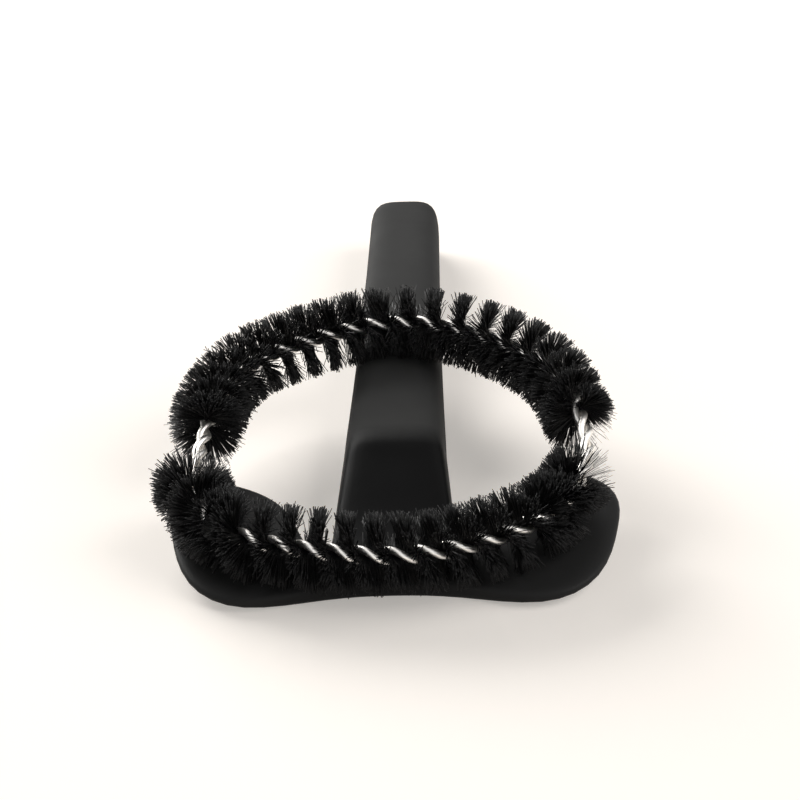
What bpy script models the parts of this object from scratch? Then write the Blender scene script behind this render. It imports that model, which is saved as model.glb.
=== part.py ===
"""Group head brush for an espresso machine.

A one-piece moulded handle ends in a two-lobed shield. Two short posts on the shield hold
a ring of two steel wires twisted together, and the wires trap the bristles.

Metres, +Z up. The part lies on a table at Z = 0. The origin is the centre of the flat pad
under the shield, the handle runs away along +Y and the shield's lobes spread along X.
"""
import math

import bmesh
import bpy
import numpy as np
from mathutils import Matrix, Vector

MM = 0.001

# Ring brush
RING_RADIUS = 32.8 * MM          # axis of the twisted stem
RING_CENTRE_X = -1.1 * MM        # the ring sits a little left of the handle's middle
RING_CENTRE_Y = 26.3 * MM        # behind the pad's centre
STANDOFF = 5.3 * MM              # stem axis above the shield's face, at the ring's centre
RING_TILT = math.radians(8.0)    # the far side of shield and ring stands higher
RING_LEAN = math.radians(1.9)    # the ring alone stands a little higher at +X
WIRE_DIAMETER = 1.2 * MM
TWIST_TURNS = 22                 # turns of the two wires round each other in the whole ring
POINTS_PER_TURN = 8
WIRE_BEVEL_RESOLUTION = 1
WIRE_END_GAP = 0.6 * MM          # between a wire's two ends, inside the left post

# Bristles
BRISTLE_RADIUS = 6.9 * MM        # stem axis to bristle tip
CORE_THICKNESS = 0.15 * MM       # the bristles' pinched middles, between the wires
CORE_RADIUS = 0.2 * MM           # stem axis to the core's edge, where strands leave it
STRAND_SPACING = 0.92 * MM       # along the stem
STRAND_TIP_WIDTH = 0.3 * MM
SPLAY_ANGLE = math.radians(32.0)  # lean of the last strands beside a bare stretch
SPLAY_LENGTH = 5.0 * MM           # stem length over which the lean fades
WIRE_TO_CORE_GAP = 0.25 * MM
FIT_GAP = 0.3 * MM               # between pieces that touch on the real brush

# Angles round the ring, from the near middle (-Y) towards +X
POST_ANGLE = math.radians(50.0)
NEAR_ARC_START = math.radians(-68.0)
NEAR_ARC_END = math.radians(61.5)
FAR_ARC_START = math.radians(96.0)
FAR_ARC_END = math.radians(260.0)
NEAR_MIDDLE_SECTIONS = 4
FAR_SECTIONS = 6

# Handle and shield
GRIP_LENGTH = 107.2 * MM         # bend to far end
GRIP_HEIGHT = 12.5 * MM
GRIP_END_WIDTH = 15.4 * MM
GRIP_BEND_WIDTH = 17.7 * MM
GRIP_EDGE = 2.2 * MM             # size of the rounded long edges
GRIP_CORNER = 2.6 * MM           # size of the far end's rounded corners
NECK_LENGTH = 19.0 * MM          # bend to the foot of the ramp
NECK_FOOT_WIDTH = 20.3 * MM
NECK_FOOT_Y = 8.5 * MM
SHIELD_NEAR_EDGE = 3.2 * MM      # pad centre to the near edge's middle
SHIELD_THICKNESS = 3.5 * MM      # at the middle of the near edge
LOBE_EDGE_THICKNESS = 2.0 * MM
SHIELD_EDGE = 0.9 * MM           # size of the shield's rounded edge
EDGE_DROP_SHARE = 0.3            # most that a rounded edge takes of the thickness
LOBE_REACH_ANGLE = math.radians(80.0)
UNDERCUT_DEPTH = 0.6 * MM        # the cage dips this far, and the table plane cuts it flat

# Posts that carry the stem
POST_LENGTH = 2.6 * MM           # along the stem
POST_WALL = 0.9 * MM
POST_ROOT_DEPTH = 1.2 * MM       # into the shield
POST_STEP = 0.2 * MM             # the column stands this far back from the bored head

# Sampling of round pieces
POST_SIDES = 20
SHARP_ANGLE = math.radians(40.0)
CUT_OVERRUN = 1.0 * MM
SEAM_MERGE = 0.05 * MM           # joins the two halves along the middle

# Sizes that follow from the ones above
TWIST_PITCH = 2.0 * math.pi * RING_RADIUS / TWIST_TURNS
WIRE_OFFSET = 0.5 * (WIRE_DIAMETER + CORE_THICKNESS) + WIRE_TO_CORE_GAP
STEM_RADIUS = WIRE_OFFSET + 0.5 * WIRE_DIAMETER
ROOT_ZONE = 0.5 * STEM_RADIUS    # faces nearer to the axis than this belong to the core
BORE_RADIUS = STEM_RADIUS + FIT_GAP
POST_RADIUS = BORE_RADIUS + POST_WALL
POST_HALF_ANGLE = 0.5 * POST_LENGTH / RING_RADIUS
BEND_Y = NECK_FOOT_Y + NECK_LENGTH
GRIP_END_Y = BEND_Y + GRIP_LENGTH

# Grip stations: distance from the bend over GRIP_LENGTH, how far the half width has gone
# from the bend's to the far end's, and the underside's height over GRIP_HEIGHT
GRIP_STATION_SHARES = [
    (-0.014, 0.0, 0.16),
    (0.04, 0.05, 0.20),
    (0.18, 0.38, 0.16),
    (0.42, 0.72, 0.04),
    (0.70, 0.92, 0.0),
    (0.93, 1.0, 0.0),
]
# Neck stations: distance from the foot over NECK_LENGTH, and the underside's height over
# GRIP_HEIGHT
NECK_STATION_SHARES = [
    (0.10, 0.0),
    (0.42, 0.05),
    (0.78, 0.12),
]
# How the hand-bent ring departs from a circle: waves round the ring, then the cosine's and
# the sine's share of RING_RADIUS
RING_WAVE_SHARES = [
    (2, -0.016, 0.012),
    (3, -0.031, -0.007),
    (4, -0.019, 0.001),
    (5, 0.0, 0.012),
    (6, 0.013, 0.0),
]
# How the twist departs from an even pitch, being looser on the far side: its share of a turn
# at the near middle, and waves round the ring in shares of a turn
TWIST_START_SHARE = 0.347
TWIST_WAVE_SHARES = [
    (1, 0.104, 0.028),
    (2, -0.116, -0.066),
]
# Ribs of a lobe, round the ring's centre: angle over LOBE_REACH_ANGLE, then the radius of
# the inner and the outer edge over RING_RADIUS
LOBE_RIB_SHARES = [
    (0.424, 0.776, 1.303),
    (0.611, 0.66, 1.354),
    (0.819, 0.656, 1.227),
]
LOBE_TIP_SHARES = [(0.956, 1.185), (1.049, 0.996), (0.987, 0.81)]
NEAR_EDGE_SWELL_SHARE = 0.03     # of the near edge towards a lobe, over half NECK_FOOT_WIDTH
NECK_CORNER_SHARE = 0.26         # the neck's inner corner ahead of the foot, over NECK_LENGTH


def make_material(name, color, roughness, metallic):
    """A Principled material of one colour."""
    material = bpy.data.materials.new(name)
    material.use_nodes = True
    shader = material.node_tree.nodes["Principled BSDF"]
    shader.inputs["Base Color"].default_value = (*color, 1.0)
    shader.inputs["Roughness"].default_value = roughness
    shader.inputs["Metallic"].default_value = metallic
    material.diffuse_color = (*color, 1.0)
    return material


def make_object(name, mesh, collection, material):
    """Link a mesh as a named object with its material."""
    obj = bpy.data.objects.new(name, mesh)
    collection.objects.link(obj)
    if material is not None:
        mesh.materials.append(material)
    return obj


def make_cutter(name, mesh, collection):
    """Link a mesh that only shapes other pieces."""
    obj = make_object(name, mesh, collection, None)
    obj.hide_render = True
    obj.display_type = 'WIRE'
    return obj


def ring_axes():
    """The ring plane's right, far and up directions."""
    far = Vector((0.0, math.cos(RING_TILT), math.sin(RING_TILT)))
    right = Vector((math.cos(RING_LEAN), 0.0, math.sin(RING_LEAN)))
    up = right.cross(far).normalized()
    far = up.cross(right).normalized()
    return right, far, up


def shield_face_height(y):
    """Height of the shield's face, a plane that climbs from its near edge."""
    return SHIELD_THICKNESS + (y + SHIELD_NEAR_EDGE) * math.tan(RING_TILT)


def height_over_shield(point):
    """Distance of a point from the shield's face, square to it."""
    return (point.z - shield_face_height(point.y)) * math.cos(RING_TILT)


def ring_centre():
    """Centre of the ring, a standoff above the shield's plane."""
    height = shield_face_height(RING_CENTRE_Y) + STANDOFF / math.cos(RING_TILT)
    return Vector((RING_CENTRE_X, RING_CENTRE_Y, height))


def stem_frame(angle):
    """Point on the stem's axis, and the directions along it, up, and square to both.

    The radius at an angle a is R times one plus the sum of c cos(n a) + s sin(n a) over the
    wave shares, so the near side is flatter and rounds off sooner at its ends.
    """
    right, far, up = ring_axes()
    outward = right * math.sin(angle) - far * math.cos(angle)
    around = right * math.cos(angle) + far * math.sin(angle)
    wave, slope = 0.0, 0.0
    for waves, cosine, sine in RING_WAVE_SHARES:
        wave += cosine * math.cos(waves * angle) + sine * math.sin(waves * angle)
        slope += waves * (sine * math.cos(waves * angle) - cosine * math.sin(waves * angle))
    radius = RING_RADIUS * (1.0 + wave)
    growth = RING_RADIUS * slope
    tangent = (around * radius + outward * growth).normalized()
    return ring_centre() + outward * radius, tangent, up, tangent.cross(up)


def twist_direction(angle, phase):
    """Direction from the stem's axis to a wire, which turns as a right-handed screw."""
    point, tangent, up, side = stem_frame(angle)
    turns = angle * RING_RADIUS / TWIST_PITCH + TWIST_START_SHARE
    for waves, cosine, sine in TWIST_WAVE_SHARES:
        turns += cosine * math.cos(waves * angle) + sine * math.sin(waves * angle)
    turn = turns * 2.0 * math.pi + phase
    return up * math.cos(turn) + side * math.sin(turn)


def wire_points(phase):
    """Points of one wire, once round the ring from the left post and back into it."""
    half_gap = 0.5 * WIRE_END_GAP / RING_RADIUS
    start = -POST_ANGLE + half_gap
    end = -POST_ANGLE + 2.0 * math.pi - half_gap
    count = TWIST_TURNS * POINTS_PER_TURN + 1
    angles = [start + (end - start) * i / (count - 1) for i in range(count)]
    return [stem_frame(a)[0] + twist_direction(a, phase) * WIRE_OFFSET for a in angles]


def make_wire(name, phase, collection, material):
    """One steel wire as a single unbroken tube."""
    curve = bpy.data.curves.new(name, 'CURVE')
    curve.dimensions = '3D'
    curve.bevel_depth = 0.5 * WIRE_DIAMETER
    curve.bevel_resolution = WIRE_BEVEL_RESOLUTION
    curve.use_fill_caps = True
    points = wire_points(phase)
    spline = curve.splines.new('POLY')
    spline.points.add(len(points) - 1)
    for spline_point, place in zip(spline.points, points):
        spline_point.co = (*place, 1.0)
    obj = bpy.data.objects.new(name, curve)
    curve.materials.append(material)
    collection.objects.link(obj)
    return obj


def least_wire_gap(points):
    """Least gap between a wire's own turns, and between its end faces, from point to point."""
    places = np.array([tuple(p) for p in points])
    apart = np.linalg.norm(places[:, None, :] - places[None, :, :], axis=2)
    index = np.arange(len(points))
    steps = np.abs(index[:, None] - index[None, :])
    steps = np.minimum(steps, len(points) - steps)
    between_turns = apart[steps > POINTS_PER_TURN // 2].min() - WIRE_DIAMETER
    return between_turns, apart[0, -1]


def splay(angle, free_start, free_end):
    """Lean of a strand along the stem, out over the bare stretch beside it."""
    lean = 0.0
    if free_start is not None:
        share = 1.0 - (angle - free_start) * RING_RADIUS / SPLAY_LENGTH
        lean -= SPLAY_ANGLE * max(share, 0.0) ** 2
    if free_end is not None:
        share = 1.0 - (free_end - angle) * RING_RADIUS / SPLAY_LENGTH
        lean += SPLAY_ANGLE * max(share, 0.0) ** 2
    return lean


def strand_reach(point, outward):
    """Length of a strand from the stem's axis, cut short of the shield or the grip below."""
    is_over_shield = point.y < RING_CENTRE_Y
    is_over_grip = not is_over_shield and abs(point.x) < 0.5 * GRIP_BEND_WIDTH + FIT_GAP
    tilt = RING_TILT if is_over_shield else 0.0
    fall = -outward.dot(Vector((0.0, -math.sin(tilt), math.cos(tilt))))
    if fall <= 0 or not (is_over_shield or is_over_grip):
        return BRISTLE_RADIUS
    room = height_over_shield(point) if is_over_shield else point.z - GRIP_HEIGHT
    return min(BRISTLE_RADIUS, (room - FIT_GAP - 0.5 * STRAND_TIP_WIDTH) / fall)


def extend_strands(bm, roots, to_tip, half_step, lean_at):
    """Draw strands out of their root faces, to their tips or only clear of the wires."""
    number = bm.faces.layers.int["strand"]
    for i, root in enumerate(roots):
        root[0][number] = i
    tips = bmesh.ops.extrude_discrete_faces(bm, faces=[root[0] for root in roots])["faces"]
    drawn = []
    for tip in tips:
        _, angle, side = roots[tip[number]]
        point, tangent, up, _ = stem_frame(angle)
        across = twist_direction(angle, 0.5 * math.pi) * side
        through = twist_direction(angle, 0.0)
        lean = lean_at(angle)
        outward = across * math.cos(lean) + tangent * math.sin(lean)
        along = tangent * math.cos(lean) - across * math.sin(lean)
        reach = strand_reach(point, across) if to_tip else STEM_RADIUS
        tip_centre = point + across * STEM_RADIUS + outward * (reach - STEM_RADIUS)
        low = tip.calc_center_median()
        for vert in tip.verts:
            along_sign = math.copysign(1.0, (vert.co - low).dot(tangent))
            row_angle = angle + along_sign * half_step
            row_through = twist_direction(row_angle, 0.0)
            if (low - point).length < ROOT_ZONE:
                from_axis = vert.co - stem_frame(row_angle)[0]
                through_sign = math.copysign(1.0, from_axis.dot(row_through))
            else:
                through_sign = math.copysign(1.0, (vert.co - low).dot(through))
            spread = along * along_sign + through * through_sign
            vert.co = tip_centre + spread * (0.5 * STRAND_TIP_WIDTH)
        drawn.append((tip, angle, side))
    return drawn


def make_bristles(name, start, end, free_start, free_end, collection, material):
    """A stretch of bristles: a twisted core with a row of strands along each edge.

    The core is the bristles' pinched middles. It lies between the wires and turns with
    them, so the strands leave the stem as a double screw. Strands that lean do so outside
    the wires.
    """
    steps = round((end - start) * RING_RADIUS / STRAND_SPACING)
    half_step = 0.5 * (end - start) / steps
    bm = bmesh.new()
    bm.faces.layers.int.new("strand")
    rows = []
    for i in range(steps + 1):
        angle = start + (end - start) * i / steps
        point = stem_frame(angle)[0]
        across = twist_direction(angle, 0.5 * math.pi)
        through = twist_direction(angle, 0.0)
        row = []
        for side, face in ((1, 1), (1, -1), (-1, -1), (-1, 1)):
            place = point + across * (side * CORE_RADIUS)
            place = place + through * (face * 0.5 * CORE_THICKNESS)
            row.append(bm.verts.new(place))
        rows.append(row)
    bm.faces.new(rows[0])
    bm.faces.new(rows[-1][::-1])
    roots = []
    for i in range(steps):
        for k in range(4):
            k_next = (k + 1) % 4
            corners = (rows[i][k_next], rows[i][k], rows[i + 1][k], rows[i + 1][k_next])
            face = bm.faces.new(corners)
            if k in (0, 2):
                angle = start + (end - start) * (i + 0.5) / steps
                roots.append((face, angle, 1 - k))
    bmesh.ops.recalc_face_normals(bm, faces=bm.faces)
    leaning = [root for root in roots if splay(root[1], free_start, free_end) != 0.0]
    upright = [root for root in roots if splay(root[1], free_start, free_end) == 0.0]
    extend_strands(bm, upright, True, half_step, lambda angle: 0.0)
    knees = extend_strands(bm, leaning, False, half_step, lambda angle: 0.0)
    extend_strands(bm, knees, True, half_step,
                   lambda angle: splay(angle, free_start, free_end))
    mesh = bpy.data.meshes.new(name)
    bm.to_mesh(mesh)
    bm.free()
    make_object(name, mesh, collection, material)
    return 2 * steps


def make_all_bristles(collection, material):
    """Every stretch of bristles, with room for the two posts and the two bare stretches."""
    post_room = POST_HALF_ANGLE + FIT_GAP / RING_RADIUS + 0.5 * STRAND_TIP_WIDTH / RING_RADIUS
    between = FIT_GAP / RING_RADIUS
    strands = 0
    stretches = [
        ("near_left_end_bristles", NEAR_ARC_START, -POST_ANGLE - post_room, NEAR_ARC_START, None),
        ("near_right_end_bristles", POST_ANGLE + post_room, NEAR_ARC_END, None, NEAR_ARC_END),
    ]
    start = -POST_ANGLE + post_room
    width = (POST_ANGLE - post_room - start) / NEAR_MIDDLE_SECTIONS
    for i in range(NEAR_MIDDLE_SECTIONS):
        low = start + width * i
        stretches.append((f"near_bristles_{i + 1}", low, low + width - between, None, None))
    width = (FAR_ARC_END - FAR_ARC_START) / FAR_SECTIONS
    for i in range(FAR_SECTIONS):
        low = FAR_ARC_START + width * i
        free_start = FAR_ARC_START if i == 0 else None
        free_end = FAR_ARC_END if i == FAR_SECTIONS - 1 else None
        high = low + width - (0.0 if free_end else between)
        stretches.append((f"far_bristles_{i + 1}", low, high, free_start, free_end))
    for stretch in stretches:
        strands += make_bristles(*stretch, collection, material)
    return strands


def on_ring_plan(angle, radius):
    """Plan position at an angle and radius round the ring's centre."""
    return radius * math.sin(angle), RING_CENTRE_Y - radius * math.cos(angle)


def body_outline():
    """Half of the body's outline in plan, from the near middle round to the far end.

    Each entry is x, y, top, bottom and the size of the rounded edge there.
    """
    outline = []
    half_foot = 0.5 * NECK_FOOT_WIDTH

    def shield_entry(x, y, share):
        """A point of the shield's rim, thinner the nearer share is to one."""
        top = shield_face_height(y)
        thickness = SHIELD_THICKNESS + (LOBE_EDGE_THICKNESS - SHIELD_THICKNESS) * share
        bottom = top - thickness if share > 0 else -UNDERCUT_DEPTH
        outline.append((x, y, top, bottom, SHIELD_EDGE))

    shield_entry(0.0, -SHIELD_NEAR_EDGE, 0.0)
    shoulder_y = -SHIELD_NEAR_EDGE - NEAR_EDGE_SWELL_SHARE * half_foot
    shield_entry(half_foot, shoulder_y, 0.0)
    for angle_share, _, outer_share in LOBE_RIB_SHARES:
        x, y = on_ring_plan(angle_share * LOBE_REACH_ANGLE, outer_share * RING_RADIUS)
        shield_entry(x, y, 1.0)
    for angle_share, radius_share in LOBE_TIP_SHARES:
        x, y = on_ring_plan(angle_share * LOBE_REACH_ANGLE, radius_share * RING_RADIUS)
        shield_entry(x, y, 1.0)
    for angle_share, inner_share, _ in reversed(LOBE_RIB_SHARES):
        x, y = on_ring_plan(angle_share * LOBE_REACH_ANGLE, inner_share * RING_RADIUS)
        shield_entry(x, y, 1.0)
    shield_entry(half_foot, NECK_FOOT_Y - NECK_CORNER_SHARE * NECK_LENGTH, 0.0)
    for along, bottom_share in NECK_STATION_SHARES:
        half = half_foot + (0.5 * GRIP_BEND_WIDTH - half_foot) * along
        y = NECK_FOOT_Y + along * NECK_LENGTH
        foot_top = shield_face_height(NECK_FOOT_Y)
        top = foot_top + (GRIP_HEIGHT - foot_top) * along
        edge = SHIELD_EDGE + (GRIP_EDGE - SHIELD_EDGE) * along
        bottom = bottom_share * GRIP_HEIGHT - UNDERCUT_DEPTH * (1.0 - along)
        outline.append((half, y, top, bottom, edge))
    for along, taper, bottom_share in GRIP_STATION_SHARES:
        half = 0.5 * (GRIP_BEND_WIDTH + (GRIP_END_WIDTH - GRIP_BEND_WIDTH) * taper)
        bottom = bottom_share * GRIP_HEIGHT if bottom_share > 0 else -UNDERCUT_DEPTH
        outline.append((half, BEND_Y + along * GRIP_LENGTH, GRIP_HEIGHT, bottom, GRIP_EDGE))
    half_end = 0.5 * GRIP_END_WIDTH
    low = -UNDERCUT_DEPTH
    outline.append((half_end, GRIP_END_Y - GRIP_CORNER, GRIP_HEIGHT, low, GRIP_EDGE))
    outline.append((half_end - GRIP_CORNER, GRIP_END_Y, GRIP_HEIGHT, low, GRIP_EDGE))
    outline.append((0.0, GRIP_END_Y, GRIP_HEIGHT, low, GRIP_EDGE))
    return outline


def make_body_cage():
    """Coarse cage of half the body: a top and a bottom sheet joined by a rounded rim."""
    outline = body_outline()
    count = len(outline)
    bm = bmesh.new()
    upper, lower, top_inset, bottom_inset = [], [], [], []
    for i, (x, y, top, bottom, edge) in enumerate(outline):
        before = outline[max(i - 1, 0)]
        after = outline[min(i + 1, count - 1)]
        normal = Vector((after[1] - before[1], before[0] - after[0], 0.0)).normalized()
        if x == 0.0:
            normal = Vector((0.0, math.copysign(1.0, normal.y), 0.0))
        inset = Vector((x, y, 0.0)) - normal * edge
        inset_x = max(inset.x, 0.0)
        drop = min(edge, EDGE_DROP_SHARE * (top - bottom))
        upper.append(bm.verts.new((x, y, top - drop)))
        lower.append(bm.verts.new((x, y, bottom + drop)))
        top_inset.append(bm.verts.new((inset_x, inset.y, top)))
        bottom_inset.append(bm.verts.new((inset_x, inset.y, bottom)))
    for i in range(count - 1):
        bm.faces.new((top_inset[i], upper[i], upper[i + 1], top_inset[i + 1]))
        bm.faces.new((upper[i], lower[i], lower[i + 1], upper[i + 1]))
        bm.faces.new((lower[i], bottom_inset[i], bottom_inset[i + 1], lower[i + 1]))

    ribs = len(LOBE_RIB_SHARES)
    first_outer = 1
    tip_outer = first_outer + ribs + 1
    tip_middle = tip_outer + 1
    tip_inner = tip_outer + 2
    corner = tip_inner + ribs + 1
    for rim, is_top in ((top_inset, True), (bottom_inset, False)):
        centre = [rim[0]]
        middles = []
        for k in range(ribs + 1):
            outer = rim[first_outer + k]
            inner = rim[corner - k]
            middles.append(bm.verts.new((outer.co + inner.co) * 0.5))
        centre.append(bm.verts.new((0.0, middles[0].co.y, middles[0].co.z)))
        for i in range(corner, count - 2):
            centre.append(bm.verts.new((0.0, rim[i].co.y, rim[i].co.z)))
        quads = [(centre[0], centre[1], middles[0], rim[first_outer]),
                 (centre[1], centre[2], rim[corner], middles[0])]
        for i in range(corner, count - 3):
            k = i - corner + 2
            quads.append((centre[k], centre[k + 1], rim[i + 1], rim[i]))
        quads.append((centre[-1], rim[count - 1], rim[count - 2], rim[count - 3]))
        for k in range(ribs):
            quads.append((rim[first_outer + k], middles[k], middles[k + 1],
                          rim[first_outer + k + 1]))
            quads.append((middles[k], rim[corner - k], rim[corner - k - 1], middles[k + 1]))
        quads.append((rim[tip_outer - 1], middles[ribs], rim[tip_middle], rim[tip_outer]))
        quads.append((middles[ribs], rim[tip_inner + 1], rim[tip_inner], rim[tip_middle]))
        for quad in quads:
            bm.faces.new(quad[::-1] if is_top else quad)
    mesh = bpy.data.meshes.new("handle")
    bm.to_mesh(mesh)
    bm.free()
    mesh.shade_smooth()
    return mesh


def aligned_cylinder(name, radius, length, centre, direction):
    """A cylinder of the given length about a centre, along a direction."""
    bm = bmesh.new()
    turn = direction.to_track_quat('Z', 'Y').to_matrix().to_4x4()
    bmesh.ops.create_cone(bm, cap_ends=True, segments=POST_SIDES, radius1=radius,
                          radius2=radius, depth=length, matrix=Matrix.Translation(centre) @ turn)
    mesh = bpy.data.meshes.new(name)
    bm.to_mesh(mesh)
    bm.free()
    mesh.shade_smooth()
    mesh.set_sharp_from_angle(angle=SHARP_ANGLE)
    return mesh


def box_mesh(name, centre, size, turn):
    """A box about a centre, turned by a rotation matrix."""
    bm = bmesh.new()
    place = Matrix.Translation(centre) @ turn.to_4x4() @ Matrix.Diagonal((*size, 1.0))
    bmesh.ops.create_cube(bm, size=1.0, matrix=place)
    mesh = bpy.data.meshes.new(name)
    bm.to_mesh(mesh)
    bm.free()
    return mesh


def add_boolean(obj, other, operation):
    """Add an exact Boolean to an object's modifiers."""
    modifier = obj.modifiers.new(other.name, 'BOOLEAN')
    modifier.operation = operation
    modifier.object = other
    modifier.solver = 'EXACT'


def make_handle(collection, cutters, material):
    """The moulding: grip, neck, shield and two posts, bored for the stem."""
    handle = make_object("handle", make_body_cage(), collection, material)
    mirror = handle.modifiers.new("other_half", 'MIRROR')
    mirror.merge_threshold = SEAM_MERGE
    mirror.use_clip = True
    rounding = handle.modifiers.new("rounding", 'SUBSURF')
    rounding.levels = 2
    rounding.render_levels = 2

    for side in (-1, 1):
        point, tangent, up, outward = stem_frame(side * POST_ANGLE)
        place_name = "left" if side < 0 else "right"
        turn = Matrix((tangent, outward, up)).transposed()
        depth = height_over_shield(point) + POST_ROOT_DEPTH
        column_size = (POST_LENGTH - 2.0 * POST_STEP, 2.0 * (POST_RADIUS - POST_STEP), depth)
        column = box_mesh(f"{place_name}_post", point - up * (0.5 * depth), column_size, turn)
        head = aligned_cylinder(f"{place_name}_post_head", POST_RADIUS, POST_LENGTH, point, tangent)
        bore = aligned_cylinder(f"{place_name}_post_bore", BORE_RADIUS,
                                POST_LENGTH + 2.0 * CUT_OVERRUN, point, tangent)
        add_boolean(handle, make_cutter(f"{place_name}_post", column, cutters), 'UNION')
        add_boolean(handle, make_cutter(f"{place_name}_post_head", head, cutters), 'UNION')
        add_boolean(handle, make_cutter(f"{place_name}_post_bore", bore, cutters), 'DIFFERENCE')

    reach = 2.0 * GRIP_END_Y
    below = box_mesh("table_plane", Vector((0.0, 0.0, -0.5 * GRIP_HEIGHT)),
                     (reach, 2.0 * reach, GRIP_HEIGHT), Matrix.Identity(3))
    add_boolean(handle, make_cutter("table_plane", below, cutters), 'DIFFERENCE')
    return handle


def main():
    """Build the whole brush."""
    for obj in list(bpy.data.objects):
        bpy.data.objects.remove(obj, do_unlink=True)
    brush = bpy.data.collections.new("group_head_brush")
    cutters = bpy.data.collections.new("cutters")
    bpy.context.scene.collection.children.link(brush)
    bpy.context.scene.collection.children.link(cutters)

    plastic = make_material("black_plastic", (0.022, 0.022, 0.023), 0.55, 0.0)
    steel = make_material("steel_wire", (0.62, 0.60, 0.57), 0.25, 1.0)
    nylon = make_material("black_nylon", (0.012, 0.012, 0.012), 0.4, 0.0)

    make_handle(brush, cutters, plastic)
    make_wire("wire_strand_a", 0.0, brush, steel)
    make_wire("wire_strand_b", math.pi, brush, steel)
    strands = make_all_bristles(brush, nylon)
    print("strands:", strands)
    between_turns, between_ends = least_wire_gap(wire_points(0.0))
    print("least gap between a wire's own turns, mm:", round(between_turns / MM, 3))
    print("gap between a wire's two ends, mm:", round(between_ends / MM, 3))


main()
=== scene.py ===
# %% [markdown]
# # A group head brush
# This brush scrubs the ring-shaped rubber seal and the screen inside an espresso machine's
# group. It is one black moulding, two steel wires twisted into a ring, and some thousands
# of nylon filaments that the wires grip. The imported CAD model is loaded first. It gives every
# piece its place, in metres, with the origin under the shield and +Y along the handle.

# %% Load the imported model
import math

import bmesh
import bpy
import numpy as np
from mathutils import Matrix
from mathutils.bvhtree import BVHTree


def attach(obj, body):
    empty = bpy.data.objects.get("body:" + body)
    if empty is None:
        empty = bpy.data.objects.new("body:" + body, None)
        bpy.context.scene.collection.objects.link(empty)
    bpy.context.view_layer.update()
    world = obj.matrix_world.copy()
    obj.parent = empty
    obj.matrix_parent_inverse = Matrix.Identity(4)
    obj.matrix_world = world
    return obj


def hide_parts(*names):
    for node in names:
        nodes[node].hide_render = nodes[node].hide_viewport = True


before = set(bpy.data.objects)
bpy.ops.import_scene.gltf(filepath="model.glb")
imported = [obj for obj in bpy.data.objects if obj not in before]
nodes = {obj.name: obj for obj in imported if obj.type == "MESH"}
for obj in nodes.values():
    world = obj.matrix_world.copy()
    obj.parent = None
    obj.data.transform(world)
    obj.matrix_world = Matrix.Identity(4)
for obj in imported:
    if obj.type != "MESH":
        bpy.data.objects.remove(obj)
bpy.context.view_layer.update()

MM = 0.001
print("CAD nodes:", len(nodes))

# %% [markdown]
# ## The line that everything on the ring follows
# The ring was bent by hand from a straight twisted stem, so it isn't a true circle. A drawn
# curve could give its line, but every wire and filament needs the line's directions as well.
# So the line is a function of the angle. Its radius is a circle's radius with a few small
# waves added, and its plane is tilted like the shield below it. It works on whole arrays.

# %% The stem's line
RING_RADIUS = 32.8 * MM
RING_CENTRE = np.array([-1.1, 26.3, 12.998]) * MM
RING_TILT = math.radians(8.0)
RING_LEAN = math.radians(1.9)
RING_WAVES = [(2, -0.016, 0.012), (3, -0.031, -0.007), (4, -0.019, 0.001), (5, 0.0, 0.012),
              (6, 0.013, 0.0)]


def ring_axes():
    """Right, far and up directions of the ring's plane."""
    far = np.array([0.0, math.cos(RING_TILT), math.sin(RING_TILT)])
    right = np.array([math.cos(RING_LEAN), 0.0, math.sin(RING_LEAN)])
    up = np.cross(right, far)
    up /= np.linalg.norm(up)
    return right, np.cross(up, right), up


def stem_line(angle):
    """Points of the stem's middle line, with the directions along it and sideways from it.

    r(a) = R (1 + sum of c cos(n a) + s sin(n a)), in the plane of right and far, with a = 0
    nearest the camera. The direction along is the derivative, made one long.
    """
    right, far, up = ring_axes()
    angle = np.asarray(angle)[..., None]
    outward = right * np.sin(angle) - far * np.cos(angle)
    around = right * np.cos(angle) + far * np.sin(angle)
    radius = RING_RADIUS * (1.0 + sum(c * np.cos(n * angle) + s * np.sin(n * angle)
                                      for n, c, s in RING_WAVES))
    growth = RING_RADIUS * sum(n * (s * np.cos(n * angle) - c * np.sin(n * angle))
                               for n, c, s in RING_WAVES)
    tangent = around * radius + outward * growth
    tangent /= np.linalg.norm(tangent, axis=-1, keepdims=True)
    return RING_CENTRE + outward * radius, tangent, np.cross(tangent, up)


print("nearest point of the ring, mm:", np.round(stem_line(0.0)[0] / MM, 1))

# %% The twist
TWIST_TURNS = 22
TWIST_START = 0.347
TWIST_WAVES = [(1, 0.104, 0.028), (2, -0.116, -0.066)]
POST_ANGLE = math.radians(50.0)


def twist_direction(angle, phase):
    """Direction from the stem's middle to a wire: up cos(t) + side sin(t).

    t(a) = turns a + 2 pi (start + sum of c cos(n a) + s sin(n a)) + phase. The waves make the
    twist a little looser on the far side.
    """
    angle = np.asarray(angle)
    up = ring_axes()[2]
    drift = TWIST_START + sum(c * np.cos(n * angle) + s * np.sin(n * angle)
                              for n, c, s in TWIST_WAVES)
    turn = (TWIST_TURNS * angle + 2 * math.pi * drift + phase)[..., None]
    side = stem_line(angle)[2]
    return up * np.cos(turn) + side * np.sin(turn)


print("mean pitch of the twist, mm:", round(2 * math.pi * RING_RADIUS / TWIST_TURNS / MM, 2))

# %% [markdown]
# ## One helper for every round strand
# A wire and a nylon filament are both tubes, only of other sizes. Curves with a bevel could
# make them, but thousands of curves are slow. So one helper takes the rings of points of
# many tubes at once, joins each ring to the next with quads, and closes both ends. The faces
# are worked out as index arrays, so thousands of filaments cost no more lines than one wire.

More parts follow.
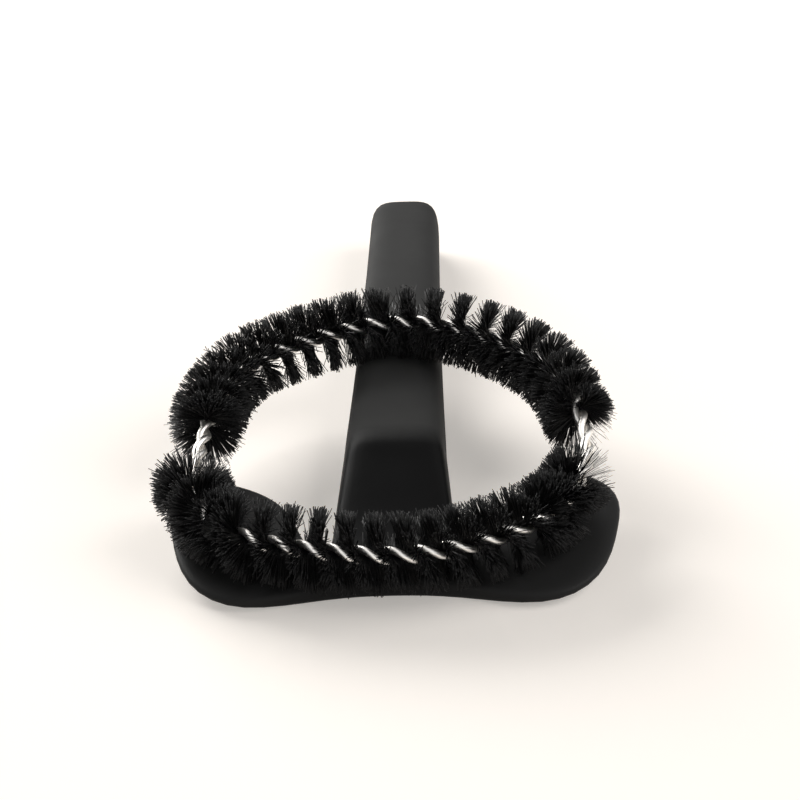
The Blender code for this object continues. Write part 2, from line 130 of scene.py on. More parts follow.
# %% Many tubes in one mesh
def tubes_object(name, rings, material):
    """An object of closed tubes. rings[n, k, s] is point s of ring k of tube n.

    Quads join point s and s + 1 of ring k to those of ring k + 1, and a flat face closes
    each end.
    """
    tubes, count, sides = rings.shape[:3]
    index = np.arange(tubes * count * sides).reshape(tubes, count, sides)
    here, after = index[:, :-1], index[:, 1:]
    quads = np.stack([here, np.roll(here, -1, 2), np.roll(after, -1, 2), after], axis=-1)
    caps = np.concatenate([index[:, 0, ::-1], index[:, -1]])
    corners = np.concatenate([quads.ravel(), caps.ravel()]).astype(np.int32)
    sizes = np.concatenate([np.full(quads.size // 4, 4), np.full(len(caps), sides)])
    mesh = bpy.data.meshes.new(name)
    mesh.vertices.add(rings.size // 3)
    mesh.vertices.foreach_set("co", rings.astype(np.float32).ravel())
    mesh.loops.add(len(corners))
    mesh.loops.foreach_set("vertex_index", corners)
    mesh.polygons.add(len(sizes))
    starts = np.concatenate([[0], np.cumsum(sizes)[:-1]])
    mesh.polygons.foreach_set("loop_start", starts.astype(np.int32))
    mesh.update(calc_edges=True)
    mesh.shade_smooth()
    mesh.materials.append(material)
    obj = bpy.data.objects.new(name, mesh)
    bpy.context.scene.collection.objects.link(obj)
    return obj


def point_attribute(obj, name, values):
    """Store one number per vertex, or one vector per vertex, for the material to read."""
    kind, field = ('FLOAT', "value") if values.ndim == 1 else ('FLOAT_VECTOR', "vector")
    attribute = obj.data.attributes.new(name, kind, 'POINT')
    attribute.data.foreach_set(field, values.astype(np.float32).ravel())


# %% [markdown]
# ## Finishes
# The real brush has three finishes: moulded plastic, drawn steel and nylon. A picture could
# be wrapped round each piece, but it would hold one light and one view. So each finish is a
# Principled shader, and noise on the piece's own coordinates gives it grain and unevenness
# at the real scale. The helpers below add the nodes that the finishes share.

# %% Helpers for materials
def new_material(name):
    """A new material, with its node tree and its Principled shader."""
    material = bpy.data.materials.new(name)
    material.use_nodes = True
    return material, material.node_tree, material.node_tree.nodes["Principled BSDF"]


def math_node(tree, operation, *values):
    """The result of a Math node. Each value is a number or the output of another node."""
    node = tree.nodes.new("ShaderNodeMath")
    node.operation = operation
    for value, socket in zip(values, node.inputs):
        if isinstance(value, float):
            socket.default_value = value
        else:
            tree.links.new(value, socket)
    return node.outputs[0]


def add_noise(tree, vector, scale, detail):
    """A noise texture on a coordinate output. Scale is in waves per metre."""
    noise = tree.nodes.new("ShaderNodeTexNoise")
    noise.inputs["Scale"].default_value = scale
    noise.inputs["Detail"].default_value = detail
    tree.links.new(vector, noise.inputs["Vector"])
    return noise.outputs["Fac"]


def spread(tree, value, source, target):
    """Map the range source = (low, high) of a value to target = (low, high), and hold it there."""
    mapping = tree.nodes.new("ShaderNodeMapRange")
    mapping.inputs["From Min"].default_value, mapping.inputs["From Max"].default_value = source
    mapping.inputs["To Min"].default_value, mapping.inputs["To Max"].default_value = target
    tree.links.new(value, mapping.inputs["Value"])
    return mapping.outputs["Result"]


def mix_colors(tree, value, first, second):
    """Mix two colours by a value. Each is three numbers or the output of another node."""
    mix = tree.nodes.new("ShaderNodeMix")
    mix.data_type = 'RGBA'
    for color, socket in ((first, mix.inputs["A"]), (second, mix.inputs["B"])):
        if isinstance(color, tuple):
            socket.default_value = (*color, 1.0)
        else:
            tree.links.new(color, socket)
    tree.links.new(value, mix.inputs["Factor"])
    return mix.outputs["Result"]


def add_bump(tree, height, distance, strength, shader):
    """Bend the shader's normal by a height, where 1 stands for distance in metres."""
    bump = tree.nodes.new("ShaderNodeBump")
    bump.inputs["Distance"].default_value = distance
    bump.inputs["Strength"].default_value = strength
    tree.links.new(height, bump.inputs["Height"])
    tree.links.new(bump.outputs["Normal"], shader.inputs["Normal"])


def axis_values(tree, vector):
    """The X, Y and Z outputs of a vector."""
    split = tree.nodes.new("ShaderNodeSeparateXYZ")
    tree.links.new(vector, split.inputs[0])
    return split.outputs


# %% [markdown]
# ## The moulding's black
# The handle is one black moulding, but its mould has more than one surface. The grip has a
# matt grain, and the ramp of the neck is smooth. Their tones are painted light and shade: the
# grip is painted greyest, the shield a darker grey, and the ramp of the neck between them is
# painted nearly black. Three pieces could carry three materials, but a seam would show
# between them. So one material blends the three painted tones by the place on the handle:
# along Y at both ends of the ramp, and by the distance from the middle where the shield's
# lobes begin.

# %% Black moulded plastic
# Each of the first three is a range over which one painted tone gives way to the next. The
# first also sets where the grip's rougher finish begins.
GRIP_PAINTED_LIGHT_AND_MATT_START = (25.0 * MM, 30.5 * MM)
LOBE_PAINTED_LIGHT_START = (10.0 * MM, 14.0 * MM)
SHIELD_MIDDLE_PAINTED_LIGHT = (7.0 * MM, 3.0 * MM)
NONE_TO_ALL = (0.0, 1.0)
# Painted light and shade: the neck is painted near black as painted shade, and the shield and the
# grip are painted greyer as painted light.
NECK_PAINTED_SHADE_BLACKS = (0.0026, 0.0026, 0.0027), (0.0038, 0.0038, 0.0039)
SHIELD_PAINTED_LIGHT_BLACKS = (0.019, 0.019, 0.019), (0.023, 0.023, 0.0228)
GRIP_PAINTED_LIGHT_BLACKS = (0.032, 0.032, 0.0318), (0.037, 0.037, 0.0365)
HEAD_TO_GRIP_ROUGHNESS = (0.36, 0.70)
ADDED_ROUGHNESS = (0.0, 0.08)
NOISE_RANGE = (0.3, 0.7)
PLASTIC_SPECULAR = 0.05
CLOUDS = (45.0, 3.0)
PATCHES = (160.0, 4.0)
GRAIN = (4200.0, 2.0)
GRAIN_HEIGHT = 0.03 * MM
GRAIN_STRENGTH = 0.5


def make_moulded_plastic():
    """Black with a fine grain. Grip and shield are painted greyer than the smooth neck between
    them as painted light, and the neck is painted near black as painted shade.

    Clouds, patches and grain are noise, each as (waves per metre, detail).
    """
    material, tree, shader = new_material("moulded_black_plastic")
    shader.inputs["Specular IOR Level"].default_value = PLASTIC_SPECULAR
    place = tree.nodes.new("ShaderNodeTexCoord").outputs["Object"]
    axes = axis_values(tree, place)
    # Where the painted tones lie: the grip's share also sets its rougher finish, while the lobes' and
    # the middle's shares place only the painted light on the shield.
    grip_painted_light_and_matt_share = spread(tree, axes["Y"], GRIP_PAINTED_LIGHT_AND_MATT_START, NONE_TO_ALL)
    lobe_painted_light_share = spread(tree, math_node(tree, 'ABSOLUTE', axes["X"]), LOBE_PAINTED_LIGHT_START, NONE_TO_ALL)
    middle_painted_light_share = spread(tree, axes["Y"], SHIELD_MIDDLE_PAINTED_LIGHT, NONE_TO_ALL)
    shield_painted_light_share = math_node(tree, 'MAXIMUM', lobe_painted_light_share, middle_painted_light_share)
    clouds = add_noise(tree, place, *CLOUDS)
    # Painted shade on the neck and painted light on the shield and the grip, each varied by random
    # clouds.
    neck_painted_shade, shield_painted_light, grip_painted_light = (mix_colors(tree, clouds, *blacks)
                          for blacks in (NECK_PAINTED_SHADE_BLACKS, SHIELD_PAINTED_LIGHT_BLACKS, GRIP_PAINTED_LIGHT_BLACKS))
    head_painted_shade_and_light = mix_colors(tree, shield_painted_light_share, neck_painted_shade, shield_painted_light)
    tree.links.new(mix_colors(tree, grip_painted_light_and_matt_share, head_painted_shade_and_light, grip_painted_light), shader.inputs["Base Color"])
    patches = add_noise(tree, place, *PATCHES)
    roughness = math_node(tree, 'ADD', spread(tree, grip_painted_light_and_matt_share, NONE_TO_ALL, HEAD_TO_GRIP_ROUGHNESS),
                          spread(tree, patches, NOISE_RANGE, ADDED_ROUGHNESS))
    tree.links.new(roughness, shader.inputs["Roughness"])
    add_bump(tree, add_noise(tree, place, *GRAIN), GRAIN_HEIGHT, GRAIN_STRENGTH, shader)
    return material


moulded_plastic = make_moulded_plastic()
print("nodes of the moulded plastic:", len(moulded_plastic.node_tree.nodes))

# %% [markdown]
# ## The wires' steel
# Stainless wire is drawn through a die, so it is bright, with faint lines along it. Noise in
# space would cut straight across the twist. So each wire carries an attribute that unrolls
# it, two numbers round it and one along it, and the noise reads that.

# %% Bright drawn steel
STEEL_TINTS = (0.90, 0.87, 0.82), (1.0, 0.97, 0.93)
STEEL_ROUGHNESS = (0.28, 0.40)
DRAWN_LINES = (9.0, 3.0)
LINE_HEIGHT = 0.01 * MM
LINE_STRENGTH = 0.3


def make_drawn_steel():
    """Warm bright steel. Tint, roughness and height vary along lines that follow the wire."""
    material, tree, shader = new_material("drawn_steel")
    shader.inputs["Metallic"].default_value = 1.0
    follow = tree.nodes.new("ShaderNodeAttribute")
    follow.attribute_name = "wire_place"
    lines = add_noise(tree, follow.outputs["Vector"], *DRAWN_LINES)
    tree.links.new(mix_colors(tree, lines, *STEEL_TINTS), shader.inputs["Base Color"])
    tree.links.new(spread(tree, lines, NOISE_RANGE, STEEL_ROUGHNESS), shader.inputs["Roughness"])
    add_bump(tree, lines, LINE_HEIGHT, LINE_STRENGTH, shader)
    return material


drawn_steel = make_drawn_steel()
print("nodes of the drawn steel:", len(drawn_steel.node_tree.nodes))

# %% [markdown]
# ## The filaments' nylon
# The filaments are black nylon, smoother than the grip, and no two of them are quite the same
# black. A noise texture would change along a filament. So each filament stores one random
# number as an attribute, and the material mixes two blacks by it.

# %% Black nylon
NYLON_BLACKS = (0.001, 0.001, 0.0012), (0.0045, 0.0043, 0.0044)
NYLON_ROUGHNESS = 0.45
NYLON_SPECULAR = 0.2


def make_nylon():
    """Filaments differ a little in tone, which the attribute strand_tone carries."""
    material, tree, shader = new_material("nylon_filament")
    shader.inputs["Roughness"].default_value = NYLON_ROUGHNESS
    shader.inputs["Specular IOR Level"].default_value = NYLON_SPECULAR
    tone = tree.nodes.new("ShaderNodeAttribute")
    tone.attribute_name = "strand_tone"
    tree.links.new(mix_colors(tree, tone.outputs["Fac"], *NYLON_BLACKS),
                   shader.inputs["Base Color"])
    return material


black_nylon = make_nylon()
print("materials:", [m.name for m in (moulded_plastic, drawn_steel, black_nylon)])

# %% [markdown]
# ## The moulding
# The handle, the neck and the shield with its two posts are one moulding. It could be
# modelled again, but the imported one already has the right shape. Its triangles share no
# corners, though, so it would show every facet. A copy is merged at the corners and shaded
# smooth, with creases only where the angle is sharp, and it stands for the CAD node.

# %% Handle, neck, shield and posts
MERGE_DISTANCE = 0.001 * MM
CREASE_ANGLE = math.radians(32.0)


def smooth_copy(node, name, material):
    """Copy a CAD node, merge its loose corners and shade it smooth up to the crease angle."""
    mesh = nodes[node].data.copy()
    mesh.name = name
    bm = bmesh.new()
    bm.from_mesh(mesh)
    bmesh.ops.remove_doubles(bm, verts=bm.verts, dist=MERGE_DISTANCE)
    bm.to_mesh(mesh)
    bm.free()
    mesh.shade_smooth()
    mesh.set_sharp_from_angle(angle=CREASE_ANGLE)
    mesh.materials.clear()
    mesh.materials.append(material)
    obj = bpy.data.objects.new(name, mesh)
    bpy.context.scene.collection.objects.link(obj)
    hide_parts(node)
    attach(obj, "root")
    return obj


moulding = smooth_copy("handle", "handle_moulding", moulded_plastic)
moulding_tree = BVHTree.FromPolygons([v.co for v in moulding.data.vertices],
                                     [p.vertices for p in moulding.data.polygons])
print("corners of the moulding:", len(moulding.data.vertices))

# %% [markdown]
# ## The two wires
# Each wire circles the stem's line once per pitch, half a turn from its partner. Where
# filaments lie between them the wires stand apart by two or three filaments, and in the bare
# stretches at the left and the right they touch, as in the photo. A screw modifier would
# keep one distance all the way. So a wire is a tube round a line whose distance from the
# stem's middle is a function of the angle too.

# %% Wires
# NIP_OFFSET is the distance of a wire's middle from the stem's where filaments lie between
# the wires. PLACES_PER_METRE sets how far the steel's lines are drawn out along a wire.
WIRE_RADIUS = 0.63 * MM
NIP_OFFSET = 0.84 * MM
BLEND_ANGLE = math.radians(4.0)
BARE_STRETCHES = [(math.radians(61.5), math.radians(96.0)),
                  (math.radians(260.0), math.radians(292.0))]
STEPS_PER_TURN = 28
WIRE_STEPS = TWIST_TURNS * STEPS_PER_TURN
WIRE_SIDES = 16
HALF_END_GAP = 0.009
PLACES_PER_METRE = 40.0


def smooth_step(value):
    """3 v^2 - 2 v^3 of a value held to 0..1."""
    value = np.clip(value, 0.0, 1.0)
    return value * value * (3.0 - 2.0 * value)


def wire_offset(angle):
    """Distance of a wire's middle from the stem's, smaller in the bare stretches."""
    closing = np.zeros_like(angle)
    for low, high in BARE_STRETCHES:
        inside = np.minimum(angle - low, high - angle) / BLEND_ANGLE + 0.5
        closing = np.maximum(closing, smooth_step(inside))
    return NIP_OFFSET + (WIRE_RADIUS - NIP_OFFSET) * closing


def make_wire(name, node, phase):
    """A tube round c(a) = stem(a) + d(a) w(a): ring points are c + r (n cos v + b sin v).

    w is the twist's direction and d its offset. n is w made square to the wire, and b is
    square to both. The ends stop inside the left post, HALF_END_GAP radians from its middle.
    """
    angle = np.linspace(-POST_ANGLE + HALF_END_GAP, 2 * math.pi - POST_ANGLE - HALF_END_GAP,
                        WIRE_STEPS)
    outward = twist_direction(angle, phase)
    middle = stem_line(angle)[0] + outward * wire_offset(angle)[:, None]
    along = np.gradient(middle, axis=0)
    length = np.cumsum(np.linalg.norm(along, axis=1))
    along /= np.linalg.norm(along, axis=1, keepdims=True)
    normal = outward - along * np.sum(outward * along, axis=1, keepdims=True)
    normal /= np.linalg.norm(normal, axis=1, keepdims=True)
    binormal = np.cross(along, normal)
    turn = np.linspace(0.0, 2 * math.pi, WIRE_SIDES, endpoint=False)
    around = normal[:, None] * np.cos(turn)[:, None] + binormal[:, None] * np.sin(turn)[:, None]
    obj = tubes_object(name, (middle[:, None] + around * WIRE_RADIUS)[None], drawn_steel)
    place = np.stack([np.tile(np.cos(turn), (WIRE_STEPS, 1)), np.tile(np.sin(turn), (WIRE_STEPS, 1)),
                      np.tile(length[:, None] * PLACES_PER_METRE, (1, WIRE_SIDES))], axis=-1)
    point_attribute(obj, "wire_place", place.reshape(-1, 3))
    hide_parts(node)
    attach(obj, "root")
    return length[-1]


wire_length = make_wire("twisted_wire_a", "wire_strand_a", 0.0)
make_wire("twisted_wire_b", "wire_strand_b", math.pi)
print("length of one wire, mm:", round(wire_length / MM, 1))

# %% [markdown]
# ## The bristles
# A filament is one short piece of nylon. It passes between the wires at its middle and
# stands out on both sides, square to the line that joins the wires, so the twist fans the
# filaments into a double screw. A trimming machine then cuts them to one cylinder, which is
# a little shorter outside the ring at the near middle and at the right. Hair could make
# them, but it has no closed mesh to export. So a stretch of the ring is one object, and its
# filaments are rows of an array. Each leans a little along the stem and round it, by itself
# and with its neighbours, because nylon clings in small bundles.

# %% One filament
# STATIONS are the shares of a filament's half length where its tube has a ring of points.
# Each trim cut has its middle on the ring, the width to each side, and its depth.
FILAMENT_RADIUS = 0.08 * MM
FILAMENT_SIDES = 3
FILAMENTS_PER_MM = 52.0
STATIONS = np.array([0.0, 0.14, 0.32, 0.52, 0.76, 1.0])
NIP_LENGTH = 1.0 * MM
LAYER_OFFSET = 0.16 * MM
TRIM_RADIUS = 6.7 * MM
TRIM_SCATTER = 0.03
TRIM_CUTS = [(math.radians(0.0), math.radians(35.0), 1.2 * MM),
             (math.radians(61.5), math.radians(14.0), 1.1 * MM),
             (math.radians(82.0), math.radians(50.0), 1.5 * MM)]


def trim_cut(angle):
    """How much shorter the filaments are that point away from the ring's middle.

    Round each cut's middle the depth falls to nothing as a smooth step of the distance.
    """
    return sum(depth * smooth_step(1.0 - np.abs(angle - middle) / width)
               for middle, width, depth in TRIM_CUTS)


print("trim at the near middle, mm:", round((TRIM_RADIUS - trim_cut(0.0)) / MM, 2))

# %% Bundles
# Each pair of scatters is for a filament by itself and for its bundle.
BUNDLE_SIZE = 6
BUNDLE_JITTER = 1.5
LEAN_SCATTER = (0.13, 0.08)
SWING_SCATTER = (0.14, 0.10)
CURL_SCATTER = 0.05


def bundled(rng, count, alone, shared):
    """Random leans: one draw for each filament plus one for each bundle of neighbours."""
    jitter = rng.uniform(-BUNDLE_JITTER, BUNDLE_JITTER, count)
    bundle = np.floor((np.arange(count) + jitter) / BUNDLE_SIZE)
    bundle = (bundle - bundle.min()).astype(int)
    return rng.normal(0.0, alone, count) + rng.normal(0.0, shared, bundle.max() + 1)[bundle]


print("filaments in a bundle:", BUNDLE_SIZE)

# %% [markdown]
# ## Where the row of filaments has gaps
# The row is bare at the left and the right of the ring, and each post takes a little room
# too. Nothing holds a filament upright beside a gap, so those at a bare stretch splay out
# over it, more of them crowd there and they fan out round the stem. Those beside a post
# close over it, so the posts can't be seen. Each of these could be combed by hand. Here each
# is a function of the distance to the gap, so it holds for all edges alike.

# %% Edges of the stretches
NEAR_ARC = (math.radians(-68.0), math.radians(61.5))
FAR_ARC = (math.radians(96.0), math.radians(260.0))
NEAR_STRETCHES = 4
FAR_STRETCHES = 6
POST_ROOM = 1.6 * MM / RING_RADIUS
GAP_EDGES = np.array([*NEAR_ARC, *FAR_ARC, -POST_ANGLE - POST_ROOM, -POST_ANGLE + POST_ROOM,
                      POST_ANGLE - POST_ROOM, POST_ANGLE + POST_ROOM])
SAME_ANGLE = 1e-6
EDGE_FILAMENTS = 150
FREE_END_FILAMENTS = 520
EDGE_DEPTH = 1.0 * MM
print("edges of the gaps, degrees:", np.round(np.degrees(GAP_EDGES), 1))

# %% Filaments beside a gap
# Splay tilts filaments out over a bare stretch, looseness fans them round the stem, and cover
# draws their tips along it to a post. The two spreads are how much single filaments differ.
SPLAY_SLOPE = math.tan(math.radians(30.0))
SPLAY_LENGTH = 5.0 * MM
SPLAY_SPREAD = (0.1, 1.3)
LOOSE_LENGTH = 3.5 * MM
LOOSE_GAIN = 1.5
COVER_LENGTH = 5.0 * MM
COVER_SHARE = 0.65
COVER_SPREAD = (0.6, 1.25)
POST_HEAD_RADIUS = 2.3 * MM
CLOSING_LENGTH = 2.2 * MM


def splay(angle, free_start, free_end):
    """Slope of a filament out over the bare stretch beside it, squared so it fades early."""
    slope = np.zeros_like(angle)
    if free_start is not None:
        share = 1.0 - (angle - free_start) * RING_RADIUS / SPLAY_LENGTH
        slope -= SPLAY_SLOPE * np.clip(share, 0.0, 1.0) ** 2
    if free_end is not None:
        share = 1.0 - (free_end - angle) * RING_RADIUS / SPLAY_LENGTH
        slope += SPLAY_SLOPE * np.clip(share, 0.0, 1.0) ** 2
    return slope


def looseness(angle):
    """1 beside a gap in the row of filaments, 0 from LOOSE_LENGTH on, where all hold upright."""
    distance = np.abs(np.asarray(angle)[:, None] - GAP_EDGES) * RING_RADIUS
    return np.clip(1.0 - distance.min(axis=1) / LOOSE_LENGTH, 0.0, 1.0)


def lean_over_posts(angle):
    """How far a tip is drawn along the stem to a post nearby, so the brush closes over it."""
    shift = np.zeros_like(angle)
    for post in (-POST_ANGLE, POST_ANGLE):
        distance = (angle - post) * RING_RADIUS
        pull = COVER_SHARE * np.clip(COVER_LENGTH - np.abs(distance), 0.0, None)
        shift -= np.sign(distance) * pull
    return shift


print("splay at a bare stretch, mm:", round(SPLAY_SLOPE * (TRIM_RADIUS - NIP_LENGTH) / MM, 1))

# %% Filaments bend where they meet the moulding
CONTACT_ROUNDING = 0.5 * MM
DRAW_BACK = 0.6


def rest_on_moulding(root, line):
    """Lift the part of a filament that would enter the moulding, so it lies along the face.

    With h the height over the face, the new height is (h + sqrt(h^2 + w^2)) / 2. A bent
    filament reaches less far, so what is lifted is drawn back too.
    """
    chord = line[:, -1] - root
    reach = np.linalg.norm(chord, axis=1)
    direction = chord / reach[:, None]
    hits = [moulding_tree.ray_cast(r, d, l) for r, d, l in zip(root, direction, reach)]
    met = np.array([hit[0] is not None for hit in hits])
    if not met.any():
        return line
    face_point = np.array([hit[0] for hit in hits if hit[0] is not None])[:, None]
    face_normal = np.array([hit[1] for hit in hits if hit[0] is not None])[:, None]
    bent = line[met]
    height = np.sum((bent - face_point) * face_normal, axis=-1, keepdims=True) - FILAMENT_RADIUS
    lifted = 0.5 * (height + np.sqrt(height ** 2 + CONTACT_ROUNDING ** 2))
    along_face = direction[met][:, None]
    along_face = along_face - face_normal * np.sum(along_face * face_normal, axis=-1, keepdims=True)
    line[met] = bent + (face_normal - along_face * DRAW_BACK) * (lifted - height)
    return line


print("rounding where a filament meets the moulding, mm:", round(CONTACT_ROUNDING / MM, 2))

# %% One stretch of bristles
def half_lines(angle, sign, lean, swing, curl, cover, rng):
    """Middle lines from the stem outwards on one side of it.

    A filament of reach R runs along across in the nip of length N, and then turns by the
    swing s towards through: p(t) = stem + across min(t R, N) + (across cos s + through sin s)
    max(t R - N, 0), plus through curl (t R)^2 over the trim's radius, and a lean along the
    stem that grows from the nip's edge to the tip. At last it rests on the moulding, and its
    tip is drawn along the stem to a post nearby.
    """
    point, along, outward = stem_line(angle)
    through = twist_direction(angle, 0.0)
    across = twist_direction(angle, 0.5 * math.pi) * sign
    facing_out = np.clip(np.sum(across * outward, axis=1), 0.0, 1.0)
    reach = TRIM_RADIUS * (1.0 + rng.normal(0.0, TRIM_SCATTER, len(angle)))
    reach = reach - trim_cut(angle) * facing_out
    length = (STATIONS * reach[:, None])[..., None]
    held, free = np.minimum(length, NIP_LENGTH), np.clip(length - NIP_LENGTH, 0.0, None)
    turned = across * np.cos(swing)[:, None] + through * np.sin(swing)[:, None]
    line = point[:, None] + across[:, None] * held + turned[:, None] * free
    line = line + along[:, None] * (lean[:, None, None] * free)
    line = line + through[:, None] * (curl[:, None, None] * length ** 2 / TRIM_RADIUS)
    line = rest_on_moulding(point, line)
    beyond = smooth_step((length - POST_HEAD_RADIUS) / CLOSING_LENGTH)
    return line + along[:, None] * ((lean_over_posts(angle) * cover)[:, None, None] * beyond)


def filament_angles(rng, start, end, free_ends):
    """Sorted angles of a stretch's filaments, evenly spread but crowded at its gap edges."""
    count = round((end - start) * RING_RADIUS / MM * FILAMENTS_PER_MM)
    angle = start + (end - start) * (np.arange(count) + rng.uniform(0.0, 1.0, count)) / count
    for edge, inwards in ((start, 1.0), (end, -1.0)):
        if np.min(np.abs(GAP_EDGES - edge)) < SAME_ANGLE:
            extra = FREE_END_FILAMENTS if edge in free_ends else EDGE_FILAMENTS
            depth = np.abs(rng.normal(0.0, EDGE_DEPTH / RING_RADIUS, extra))
            angle = np.concatenate([angle, np.clip(edge + inwards * depth, start, end)])
    return np.sort(angle)


def make_bristles(name, node, start, end, free_start, free_end, seed):
    """All filaments of a stretch, from tip to tip, as three-sided tubes."""
    rng = np.random.default_rng(seed)
    angle = filament_angles(rng, start, end, (free_start, free_end))
    count = len(angle)
    opened = splay(angle, free_start, free_end)
    loose = smooth_step(LOOSE_GAIN * looseness(angle))
    halves = []
    for sign in (-1.0, 1.0):
        lean = bundled(rng, count, *LEAN_SCATTER) + opened * rng.uniform(*SPLAY_SPREAD, count)
        swing = bundled(rng, count, *SWING_SCATTER)
        swing = swing + rng.uniform(-0.5, 0.5, count) * math.pi * loose
        curl = rng.normal(0.0, CURL_SCATTER, count)
        cover = rng.uniform(*COVER_SPREAD, count)
        halves.append(half_lines(angle, sign, lean, swing, curl, cover, rng))
    line = np.concatenate([halves[0][:, :0:-1], halves[1]], axis=1)
    through = twist_direction(angle, 0.0)
    along = stem_line(angle)[1]
    line = line + (through * (LAYER_OFFSET * rng.uniform(-1.0, 1.0, count))[:, None])[:, None]
    corner = np.arange(FILAMENT_SIDES) * (2 * math.pi / FILAMENT_SIDES)
    turn = rng.uniform(0.0, 2 * math.pi, count)[:, None] + corner
    around = along[:, None] * np.cos(turn)[..., None] + through[:, None] * np.sin(turn)[..., None]
    rings = line[:, :, None] + around[:, None] * FILAMENT_RADIUS
    obj = tubes_object(name, rings, black_nylon)
    tone = np.repeat(rng.uniform(0.0, 1.0, count), rings.shape[1] * rings.shape[2])
    point_attribute(obj, "strand_tone", tone)
    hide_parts(node)
    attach(obj, "root")
    return count


# %% Every stretch round the ring
def all_stretches():
    """(piece, CAD node, start, end, free start, free end) of every stretch, in order."""
    low, high = NEAR_ARC
    yield "left_end_bristles", "near_left_end_bristles", low, -POST_ANGLE - POST_ROOM, low, None
    yield "right_end_bristles", "near_right_end_bristles", POST_ANGLE + POST_ROOM, high, None, high
    edges = np.linspace(-POST_ANGLE + POST_ROOM, POST_ANGLE - POST_ROOM, NEAR_STRETCHES + 1)
    for i in range(NEAR_STRETCHES):
        yield f"shield_bristles_{i + 1}", f"near_bristles_{i + 1}", edges[i], edges[i + 1], None, None
    edges = np.linspace(*FAR_ARC, FAR_STRETCHES + 1)
    for i in range(FAR_STRETCHES):
        free_start = edges[0] if i == 0 else None
        free_end = edges[-1] if i == FAR_STRETCHES - 1 else None
        yield (f"grip_bristles_{i + 1}", f"far_bristles_{i + 1}", edges[i], edges[i + 1],
               free_start, free_end)


filaments = sum(make_bristles(*stretch, seed) for seed, stretch in enumerate(all_stretches()))
print("filaments:", filaments)

# %% [markdown]
# ## Camera
# A camera could be moved by hand until the picture looks right. Here its place was solved
# from the photo: the edges of the handle, the shield's outline and the line of the wires,
# set against the CAD model. It looks down at about 28 degrees with a lens of about 77 mm,
# and it is turned a little, so the far end leans.

# %% Camera
CAMERA_PLACE = np.array([10.74, -224.07, 154.91]) * MM
PITCH, YAW, ROLL = (math.radians(v) for v in (28.43, 2.18, 2.39))
FOCAL_PIXELS = 1703.0
IMAGE_SIZE = 800
SENSOR_WIDTH = 36.0
NEAREST_SEEN = 10.0 * MM


def facing(right, up, back, place):
    """The matrix of an object whose X, Y and Z are right, up and back, at a place."""
    axes = np.stack([right, up, back], axis=1)
    return Matrix.Translation(place) @ Matrix(axes.tolist()).to_4x4()


def make_camera():
    """Build the camera's axes from pitch, yaw and roll, and place it."""
    forward = np.array([-math.sin(YAW) * math.cos(PITCH), math.cos(YAW) * math.cos(PITCH),
                        -math.sin(PITCH)])
    level = np.array([math.cos(YAW), math.sin(YAW), 0.0])
    upright = np.cross(level, forward)
    right = level * math.cos(ROLL) - upright * math.sin(ROLL)
    up = level * math.sin(ROLL) + upright * math.cos(ROLL)
    data = bpy.data.cameras.new("camera")
    data.sensor_width = SENSOR_WIDTH
    data.lens = FOCAL_PIXELS / IMAGE_SIZE * SENSOR_WIDTH
    data.clip_start = NEAREST_SEEN
    camera = bpy.data.objects.new("camera", data)
    camera.matrix_world = facing(right, up, -forward, CAMERA_PLACE)
    bpy.context.scene.collection.objects.link(camera)
    bpy.context.scene.camera = camera
    return data.lens


print("lens, mm:", round(make_camera(), 1))

# %% [markdown]
# ## Floor, backdrop and light
# The photo was taken on white paper in soft light. More light could make the paper white,
# but it would make the black moulding grey too. So the floor is a pale diffuse sheet that
# takes the shadows, and it glows a little for the camera and in reflections. The main lamp
# stands behind the brush at the left, and a weaker one fills in from the right, because the
# shadows fall to the right and towards the camera. The world lights the brush softly, mostly
# from low down in front, and the camera and the wires see it white.

# %% White paper
PAPER_COLOR = (0.80, 0.755, 0.71, 1.0)
GLOW_COLOR = (1.0, 0.96, 0.91, 1.0)
GLOW_STRENGTH = 0.33
HALF_FLOOR = 3.0


def seen_or_mirrored(tree):
    """1 for rays from the camera and those that gloss or glass sends on, and 0 for others."""
    rays = tree.nodes.new("ShaderNodeLightPath")
    seen = rays.outputs["Is Camera Ray"]
    for name in ("Is Glossy Ray", "Is Transmission Ray"):
        seen = math_node(tree, 'MAXIMUM', seen, rays.outputs[name])
    return seen


def make_paper():
    """Diffuse warm white plus a small glow for camera, glossy and transmission rays."""
    material = bpy.data.materials.new("white_paper")
    material.use_nodes = True
    tree = material.node_tree
    tree.nodes.clear()
    output = tree.nodes.new("ShaderNodeOutputMaterial")
    diffuse = tree.nodes.new("ShaderNodeBsdfDiffuse")
    diffuse.inputs["Color"].default_value = PAPER_COLOR
    glow = tree.nodes.new("ShaderNodeEmission")
    glow.inputs["Color"].default_value = GLOW_COLOR
    amount = math_node(tree, 'MULTIPLY', seen_or_mirrored(tree), GLOW_STRENGTH)
    tree.links.new(amount, glow.inputs["Strength"])
    total = tree.nodes.new("ShaderNodeAddShader")
    tree.links.new(diffuse.outputs[0], total.inputs[0])
    tree.links.new(glow.outputs[0], total.inputs[1])
    tree.links.new(total.outputs[0], output.inputs["Surface"])
    return material


def make_floor():
    """A flat sheet at the table's height, far larger than the view."""
    mesh = bpy.data.meshes.new("floor")
    corners = [(x * HALF_FLOOR, y * HALF_FLOOR, 0.0) for x, y in ((-1, -1), (1, -1), (1, 1), (-1, 1))]
    mesh.from_pydata(corners, [], [(0, 1, 2, 3)])
    mesh.materials.append(make_paper())
    floor = bpy.data.objects.new("floor", mesh)
    bpy.context.scene.collection.objects.link(floor)


make_floor()
print("floor, metres across:", 2 * HALF_FLOOR)

# %% Lamps
LAMP_TARGET = np.array([0.0, 0.04, 0.0])
LAMP_SIZE = 1.0


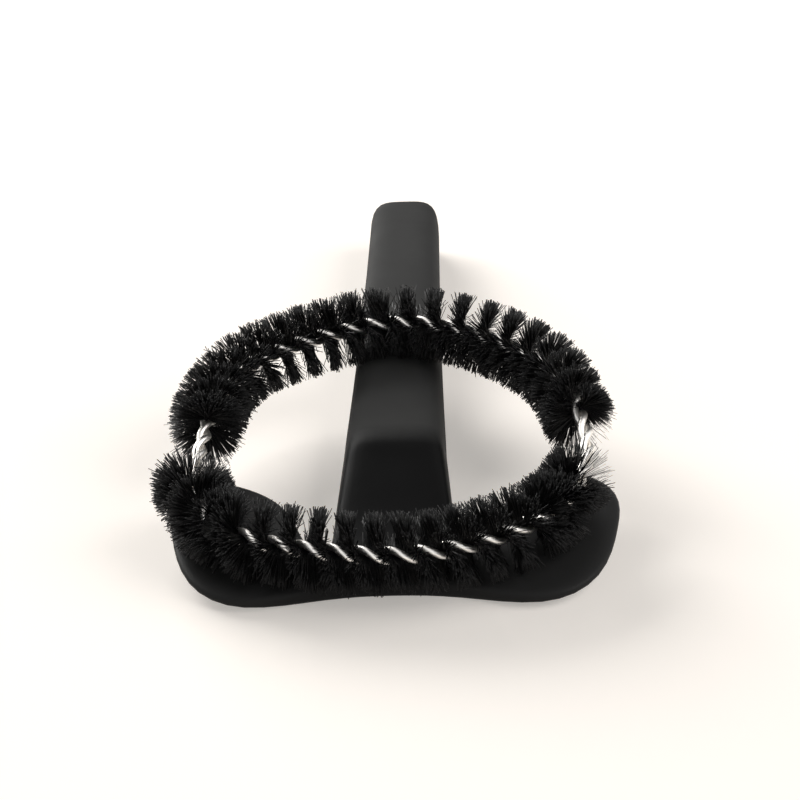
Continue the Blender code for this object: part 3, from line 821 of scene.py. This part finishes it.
def add_lamp(name, place, power, color):
    """A square lamp that faces the brush, with its power in watts."""
    data = bpy.data.lights.new(name, 'AREA')
    data.size = LAMP_SIZE
    data.energy = power
    data.color = color
    lamp = bpy.data.objects.new(name, data)
    away = (np.array(place) - LAMP_TARGET) / np.linalg.norm(np.array(place) - LAMP_TARGET)
    side = np.cross([0.0, 0.0, 1.0], away)
    side /= np.linalg.norm(side)
    lamp.matrix_world = facing(side, np.cross(away, side), away, place)
    bpy.context.scene.collection.objects.link(lamp)
    return data.energy


main_power = add_lamp("main_lamp", (-0.75, 0.95, 0.55), 26.0, (1.0, 0.99, 0.97))
fill_power = add_lamp("fill_lamp", (0.95, -0.15, 0.80), 9.0, (1.0, 0.98, 0.96))
print("lamps, watts:", main_power, fill_power)

# %% World
LIGHT_BY_HEIGHT = [(0.0, 0.9), (0.4, 0.7), (0.75, 0.03)]
FRONT_TO_BACK = (-0.4, 0.5)
FRONT_TO_BACK_STRENGTH = (0.9, 0.5)


def make_world():
    """White for the camera and in reflections.

    As light it is pale low down, dim above, and weaker behind the brush than in front.
    """
    world = bpy.data.worlds.new("studio")
    bpy.context.scene.world = world
    world.use_nodes = True
    tree = world.node_tree
    tree.nodes.clear()
    output = tree.nodes.new("ShaderNodeOutputWorld")
    axes = axis_values(tree, tree.nodes.new("ShaderNodeTexCoord").outputs["Generated"])
    ramp = tree.nodes.new("ShaderNodeValToRGB")
    tree.links.new(axes["Z"], ramp.inputs["Fac"])
    stops = ramp.color_ramp.elements
    stops.new(0.5)  # between the two stops that every ramp starts with
    for stop, (height, grey) in zip(stops, LIGHT_BY_HEIGHT):
        stop.position = height
        stop.color = (grey, grey, grey, 1.0)
    light = tree.nodes.new("ShaderNodeBackground")
    tree.links.new(ramp.outputs["Color"], light.inputs["Color"])
    strength = spread(tree, axes["Y"], FRONT_TO_BACK, FRONT_TO_BACK_STRENGTH)
    tree.links.new(strength, light.inputs["Strength"])
    white = tree.nodes.new("ShaderNodeBackground")
    white.inputs["Color"].default_value = (1.0, 1.0, 1.0, 1.0)
    choice = tree.nodes.new("ShaderNodeMixShader")
    tree.links.new(seen_or_mirrored(tree), choice.inputs["Fac"])
    tree.links.new(light.outputs[0], choice.inputs[1])
    tree.links.new(white.outputs[0], choice.inputs[2])
    tree.links.new(choice.outputs[0], output.inputs["Surface"])


make_world()
bpy.context.scene.view_settings.view_transform = 'Standard'
print("world:", bpy.context.scene.world.name)
